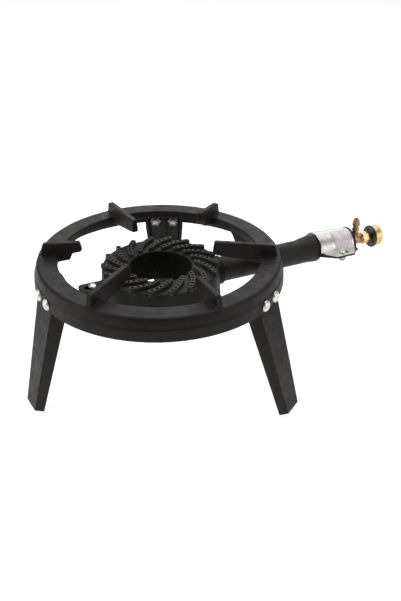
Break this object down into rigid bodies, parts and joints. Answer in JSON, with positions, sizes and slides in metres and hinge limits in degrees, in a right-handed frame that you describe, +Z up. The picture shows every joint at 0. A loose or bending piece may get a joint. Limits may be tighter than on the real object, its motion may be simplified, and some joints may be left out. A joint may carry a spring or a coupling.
{
  "type": "propane burner stand",
  "caption": "Round cast-iron cooking stand on bolted splayed legs, with a ribbed ring burner, mixing tube, sliding air shutter and brass needle valve.",
  "frame": {"origin": "middle of the part's outline, on the floor the feet stand on", "axes": "+Z up; +X towards the side where the mixing tube leaves, which runs 25 degrees round from +X towards +Y; the rear leg is towards +Y"},
  "size_m": [0.6098, 0.443, 0.2416],
  "materials": {
    "cast_iron": "satin black paint over a fine sand-cast grain",
    "burner_iron": "bare blackened casting, slightly greyer than the stand",
    "zinc_plate": "bright zinc plate, lightly tarnished",
    "sheet_metal": "galvanised sheet, softly bright",
    "label": "matte printed foil with faint rows, no readable text",
    "brass": "machined brass, dulled to brown",
    "bright_brass": "bright machined brass",
    "gold_cap": "gold-coloured metal, fluted and polished",
    "knob_core": "dark olive moulding with a low shine",
    "seal": "black nitrile rubber"
  },
  "bodies": {
    "stand": {"ring_frame": "cast_iron", "burner_head": "burner_iron", "mixing_tube": "cast_iron", "right_leg": "cast_iron", "right_leg_bolt_a": "zinc_plate", "right_leg_bolt_b": "zinc_plate", "right_leg_nut_a": "zinc_plate", "right_leg_nut_b": "zinc_plate", "left_leg": "cast_iron", "left_leg_bolt_a": "zinc_plate", "left_leg_bolt_b": "zinc_plate", "left_leg_nut_a": "zinc_plate", "left_leg_nut_b": "zinc_plate", "rear_leg": "cast_iron", "rear_leg_bolt_a": "zinc_plate", "rear_leg_bolt_b": "zinc_plate", "rear_leg_nut_a": "zinc_plate", "rear_leg_nut_b": "zinc_plate", "arm_bolt": "zinc_plate", "arm_nut": "zinc_plate", "tube_set_screw": "zinc_plate", "shutter_screw_front": "zinc_plate", "shutter_washer_front": "zinc_plate", "shutter_nut_front": "zinc_plate", "shutter_screw_back": "zinc_plate", "shutter_washer_back": "zinc_plate", "shutter_nut_back": "zinc_plate", "injector": "bright_brass", "valve_body": "brass", "gland_nut": "bright_brass", "gland_packing": "seal"},
    "shutter": {"air_shutter": "sheet_metal", "rating_label": "label"},
    "spindle_travel": {"spindle_seal": "seal"},
    "knob": {"valve_spindle": "brass", "knob_core": "knob_core", "knob_cap": "gold_cap", "knob_screw": "zinc_plate"}
  },
  "joints": [
    {"name": "shutter_slide", "type": "slide", "parent": "stand", "child": "shutter", "axis": [-0.9063, -0.4226, 0], "range_m": [0, 0.008]},
    {"name": "spindle_lift", "type": "slide", "parent": "stand", "child": "spindle_travel", "axis": [0.9063, 0.4226, 0], "range_m": [0, 0.00151]},
    {"name": "knob_turn", "type": "hinge", "parent": "spindle_travel", "child": "knob", "pos_m": [0.28902, 0.15558, 0.1655], "axis": [0.9063, 0.4226, 0], "range_deg": [0, 540]}
  ],
  "couplings": [
    {"joint": "spindle_lift", "follows": "knob_turn", "m_per_rad": 0.00015915}
  ]
}
